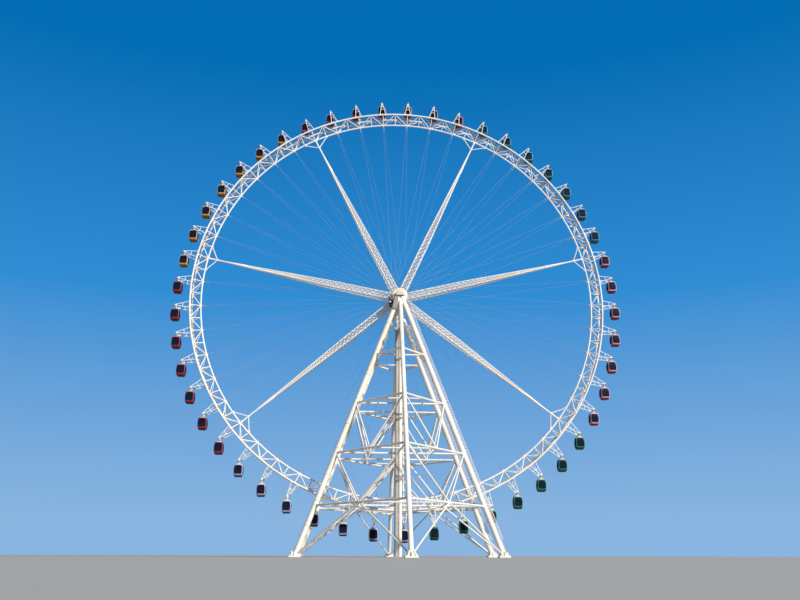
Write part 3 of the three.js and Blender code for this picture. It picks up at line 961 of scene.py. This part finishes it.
def hubDrive():  # motor, gear box and hydraulic tank on the left of the front bearing
    shape = Shape()
    base = vec(*drivePlan["place"])
    radius, length = taken(drivePlan, "motorRadius", "motorLength")
    start = base + vec(0, length / 2, drivePlan["motorRise"])
    shape.turned(start, forward, scaled(drivePlan["motor"], radius, length), 28)
    fin = band(radius * 0.95, radius * 1.15, 0.003, 0.0005)
    for way in np.arange(0.012, length * 0.68, drivePlan["finStep"]):
        shape.turned(start - vec(0, way, 0), forward, fin, 28)
    for middle, size, bevel in drivePlan["blocks"]:
        shape.block(base + vec(*middle), size, bevel)
    shape.turned(base + vec(-0.012, -0.043, -0.014), forward, drivePlan["cap"], 24, 1)
    shape.turned(base + vec(0.008, -0.017, -0.066), forward, scaled(drivePlan["cap"], 0.6), 16, 1)
    return shape


casingPlan = {
    "outline": [(-0.150, 4.335), (-0.130, 4.305), (-0.062, 4.305), (-0.034, 4.545), (-0.100, 4.545)],
    "depth": (0.330, 0.462),
    "lid": 0.84,  # its share of the outline
    "boltRing": 0.88,  # share of the lid
    "bolt": [(0.004, 0), (0.004, 0.003), (0.0025, 0.004)],
}


def legCasing():  # the plated head of the left leg, below the bearing
    shape = Shape()
    near, far = casingPlan["depth"]
    casing = np.array(casingPlan["outline"])
    middle = casing.mean(0)
    lid = middle + (casing - middle) * casingPlan["lid"]
    shape.plate(casing, (0, -(near + far) / 2, 0), far - near)
    shape.plate(lid, (0, -far - 0.001, 0), 0.006)
    for x, z in middle + (lid - middle) * casingPlan["boltRing"]:
        shape.turned((x, -far - 0.003, z), forward, casingPlan["bolt"], 6)
    return shape


legMesh = towerLegs().mesh("tower legs", [creamPaint])
bracingMesh = towerBracing().mesh("tower bracing", [creamPaint])
housingMesh = bearingHousing().mesh("bearing housing", [creamPaint, hoodPaint, machineAndShadowSteel])
pipeMesh = servicePipes().mesh("service pipes", [shadeGreyPaint, creamPaint])
for tower, side, turn in (("front", 1, (0, 0, 0)), ("rear", -1, (0, 0, math.pi))):
    place(f"{tower}Legs", legMesh, "towers", [f"{tower}_tower"], turn=turn)
    place(f"{tower}Bracing", bracingMesh, "towers", turn=turn)
    place(f"{tower}Bearing", housingMesh, "towers", [], axle, turn)
    place(f"{tower}Pipes", pipeMesh, "towers", turn=turn)
    place(f"{tower}Ladder", legLadder(side).mesh(f"{tower} caged ladder", [whitePaint]), "towers")
driveMesh = hubDrive().mesh("hub drive", [machineAndShadowSteel, hoodPaint])
place("hubDrive", driveMesh, "towers", slot="bearing_steel")
# the leg casing takes the grey of painted shade
place("legCasing", legCasing().mesh("leg casing", [casingShadeGrey]), "towers")
print("towers built")

cabinPlan = {
    "halfWidth": 0.082,
    "squareness": 9.0,  # exponent of the rounded square that the cabin is in plan
    "corners": 48,  # of that square's outline
    "steps": 3,  # rows of faces between two heights
    # heights from the pivot and shares of the half width
    "roof": [(-0.037, 0.33), (-0.046, 0.52), (-0.055, 0.69), (-0.060, 0.760)],
    "eave": [(-0.0585, 0.740), (-0.0600, 0.790), (-0.0640, 0.832), (-0.0690, 0.838), (-0.0700, 0.820)],
    "walls": [(-0.068, 0.805), (-0.080, 0.862), (-0.105, 0.927), (-0.135, 0.964), (-0.165, 0.972),
              (-0.195, 0.958), (-0.222, 0.922), (-0.250, 0.860)],
    "band": [(-0.2285, 0.905), (-0.2295, 0.925), (-0.2475, 0.880), (-0.2485, 0.862)],
    "skirt": [(-0.2480, 0.850), (-0.2500, 0.852), (-0.2610, 0.780), (-0.2695, 0.690), (-0.2715, 0.650)],
    "pane": (-0.1475, 0.0765, 0.87),  # middle height, half height, half width against the cabin's own
    "paneSquareness": 7.0,
    "panePoints": 40,
    "paneRings": (1, 0.88, 0.7, 0.45, 0.2),
    "paneLift": 0.0009,
    "frameWidth": 0.0038,
    "frameHeight": 0.0018,
    # radii and heights from the pivot
    "hanger": [(0.034, -0.045), (0.025, -0.037), (0.0165, -0.027), (0.0130, -0.014), (0.0125, 0.0),
               (0.0125, 0.012)],
    "shaft": 0.0078,
    "shaftGap": 0.012,  # from its end to the middle of a bracket
    "boss": [(0.0115, 0), (0.0120, 0.001), (0.0120, 0.014), (0.009, 0.018)],
    "rib": [(0.006, -0.006), (0.036, -0.042), (0.036, -0.048), (0.006, -0.044)],
}
# going left from the top: wall paint, pale tone of the window frames, band below the windows and skirt,
# whose tone paints the shade of the downward-facing underside
cabinPaints = [
    ("crimson", (0.240, 0.005, 0.020), (0.62, 0.30, 0.34), (0.340, 0.030, 0.055), (0.075, 0.012, 0.016)),
    ("amber", (0.360, 0.130, 0.010), (0.70, 0.53, 0.27), (0.540, 0.225, 0.018), (0.170, 0.070, 0.014)),
    ("scarlet", (0.150, 0.004, 0.014), (0.38, 0.06, 0.11), (0.290, 0.009, 0.016), (0.040, 0.010, 0.014)),
    ("navy", (0.012, 0.016, 0.060), (0.52, 0.49, 0.68), (0.280, 0.260, 0.400), (0.014, 0.028, 0.062)),
    ("green", (0.003, 0.065, 0.042), (0.06, 0.44, 0.29), (0.005, 0.105, 0.066), (0.006, 0.045, 0.032)),
    ("rose", (0.180, 0.008, 0.032), (0.74, 0.40, 0.56), (0.600, 0.240, 0.350), (0.090, 0.014, 0.024)),
    ("teal", (0.004, 0.085, 0.125), (0.10, 0.48, 0.70), (0.006, 0.160, 0.235), (0.008, 0.050, 0.065)),
]


def roundedSquare(count, power):
    turns = (np.arange(count) + 0.5) * 2 * math.pi / count
    ring = np.stack([np.cos(turns), np.sin(turns)], 1)
    reach = (np.abs(ring) ** power).sum(1) ** (-1 / power)
    return ring * reach[:, None]


def loft(shape, outline, mark, cornerMark=None):
    sides = cabinPlan["corners"]
    ring = roundedSquare(sides, cabinPlan["squareness"]) * cabinPlan["halfWidth"]
    last = len(outline) - 1
    ways = np.linspace(last, 0, last * cabinPlan["steps"] + 1)
    heights, shares = [np.interp(ways, range(last + 1), part) for part in zip(*outline)]
    shape.rings([np.column_stack([ring * share, np.full(sides, height)])
                 for height, share in zip(heights, shares)], mark)
    if cornerMark is not None:
        sideMarks = shape.marks[-3]  # the two caps follow the sides
        sideMarks[np.arange(len(sideMarks)) % (sides // 4) == sides // 8 - 1] = cornerMark


def onWall(side, share, height, lift):  # a point on a wall; side counts quarter turns from the front
    power, half = taken(cabinPlan, "squareness", "halfWidth")
    reach = half * np.interp(height, *zip(*cabinPlan["walls"][::-1]))
    x = share * reach
    y = -reach * (1 - abs(share) ** power) ** (1 / power) - lift
    for _ in range(side):
        x, y = -y, x
    return vec(x, y, height)


def paneRing(side, size, grow, lift):  # the pane's outline, smaller by a share or grown by a margin
    middle, tall, wide = cabinPlan["pane"]
    wide = wide * size + grow / cabinPlan["halfWidth"]
    flat = roundedSquare(cabinPlan["panePoints"], cabinPlan["paneSquareness"])
    return np.array([onWall(side, share * wide, middle + rise * (tall * size + grow), lift)
                     for share, rise in flat])


def paneFrame(shape, side, mark):
    width, height = taken(cabinPlan, "frameWidth", "frameHeight")
    steps = [(0, -height), (0, height), (width, height), (width * 1.15, -height), (0, -height)]
    rings = [paneRing(side, 1, grow, lift) for grow, lift in steps[::-1]]
    shape.rings(rings, mark, False)


def cabinShell():  # marks: 0 wall paint, 1 frames and corners, 2 skirt in painted shade, 3 roof and hanger, 4 band
    shape = Shape()
    loft(shape, cabinPlan["walls"], 0, 1)
    for mark, part in ((2, "skirt"), (3, "roof"), (1, "eave"), (4, "band")):
        loft(shape, cabinPlan[part], mark)
    for side in range(4):
        paneFrame(shape, side, 1)
    shape.turned((0, 0, 0), up, cabinPlan["hanger"], 24, 3)
    reach = wheelPlan["halfWidth"] - cabinPlan["shaftGap"]
    shape.tube((0, -reach, 0), (0, reach, 0), cabinPlan["shaft"], 20, 3)
    for side in (-1, 1):
        shape.turned((0, side * 0.012, 0), (0, side, 0), cabinPlan["boss"], 24, 3)
        for across in ((0, side, 0), (side, 0, 0)):
            shape.plate(cabinPlan["rib"], (0, 0, 0), 0.006, 3, across)
    return shape


def cabinWindows():
    shape = Shape()
    lift = cabinPlan["paneLift"]
    for side in range(4):
        panes = [paneRing(side, size, 0, lift) for size in cabinPlan["paneRings"]]
        shape.rings([paneRing(side, 1, 0, -lift), *panes])
    return shape


windowMesh = cabinWindows().mesh("cabin windows", [cabinGlass])
shellShape = cabinShell()
for number in range(spokes * perSpoke):
    sector, station = divmod(number, perSpoke)
    if station == 0:
        name, *tones = cabinPaints[sector]
        wall, frames, belt, skirt = [glossPaint(f"{name} {part} paint", tone)
                                     for part, tone in zip(("wall", "frame", "band", "skirt"), tones)]
        shellMesh = shellShape.mesh(f"{name} cabin", [wall, frames, skirt, roofPaint, belt])
    turn = restTurn + (number - lastStation) * cabinStep
    pivot = Vector(onWheel(wheelPlan["pivotRadius"], turn)) + axle
    body = f"cabin_{number + 1:02d}"
    place(f"cabinShell_{number + 1:02d}", shellMesh, body, [body], pivot, slot=f"{name}_paint")
    place(f"cabinWindows_{number + 1:02d}", windowMesh, body, [], pivot, slot="cabin_glass")
print("cabins built")

stagePlan = {
    "floor": (0.46, 0.46, 0.455),
    "floorReach": 120.0,
    # sine of the height above the horizon and the backdrop's tone there
    "sky": [(0.04, (0.250, 0.460, 0.745, 1)), (0.30, (0.030, 0.265, 0.655, 1)),
            (0.54, (0.001, 0.155, 0.460, 1))],
    "fill": (0.50, 0.68, 1.00, 1),
    "fillStrength": 0.20,
    "sunFrom": (0.600, -0.760, 0.540),
    "sunStrength": 4.6,
    "sunColour": (1.0, 0.965, 0.91),
    "sunSoftness": 2.5,  # degrees
}


def floor():
    reach = stagePlan["floorReach"]
    tone = stagePlan["floor"]
    shape = Shape()
    corners = [(x * reach, y * reach, 0) for x, y in ((-1, -1), (1, -1), (1, 1), (-1, 1))]
    shape.add(corners, [[[0, 1, 2, 3]]])
    finish = Finish("studio floor", Roughness=0.8)
    cloud = finish.spread(finish.noise(0.4, 2), 0.3, 0.7)
    grey = finish.feed(Base_Color=finish.blend(cloud, tone, tuple(part * 0.97 for part in tone)))
    added("floor", shape.mesh("floor", [grey]))


def studio():
    world = bpy.data.worlds.new("studio")
    bpy.context.scene.world = world
    world.use_nodes = True
    board = Board(world.node_tree)
    spot = board.node("ShaderNodeTexCoord", output="Generated")
    height = board.node("ShaderNodeSeparateXYZ", {}, {"Vector": spot}, "Z")
    sky = board.node("ShaderNodeValToRGB", {"stops": stagePlan["sky"]}, {"Fac": height})
    backdrop = board.node("ShaderNodeBackground", {}, {"Color": sky})
    light = {"Color": stagePlan["fill"], "Strength": stagePlan["fillStrength"]}
    fill = board.node("ShaderNodeBackground", {}, light)
    seen = board.node("ShaderNodeLightPath", output="Is Camera Ray")
    choice = board.node("ShaderNodeMixShader", {}, {0: seen, 1: fill, 2: backdrop})
    board.tree.links.new(choice.socket, board.tree.nodes["World Output"].inputs["Surface"])
    lamp = bpy.data.lights.new("key light", "SUN")
    lamp.energy = stagePlan["sunStrength"]
    lamp.angle = math.radians(stagePlan["sunSoftness"])
    lamp.color = stagePlan["sunColour"]
    key = added("key light", lamp)
    key.rotation_euler = Vector(stagePlan["sunFrom"]).to_track_quat("Z", "Y").to_euler()
    bpy.context.scene.view_settings.view_transform = "Standard"


cameraPlan = {
    "place": (-0.930, -14.635, 0.030),
    "turn": 3.714,  # degrees to the right of the axle line
    "tilt": 17.344,
    "roll": 0.167,
    "focalPixels": 818.2,
    "pictureWidth": 800,
    "clip": (0.05, 400),
}


def camera():
    lens = bpy.data.cameras.new("camera")
    lens.lens = cameraPlan["focalPixels"] / cameraPlan["pictureWidth"] * lens.sensor_width
    lens.clip_start, lens.clip_end = cameraPlan["clip"]
    eye = added("camera", lens)
    level = Matrix.Rotation(-math.radians(cameraPlan["turn"]), 4, "Z")
    tilt = Matrix.Rotation(math.radians(90 + cameraPlan["tilt"]), 4, "X")
    roll = Matrix.Rotation(math.radians(cameraPlan["roll"]), 4, "Z")
    eye.matrix_world = Matrix.Translation(cameraPlan["place"]) @ level @ tilt @ roll
    bpy.context.scene.camera = eye


floor()
studio()
camera()
print("scene ready")
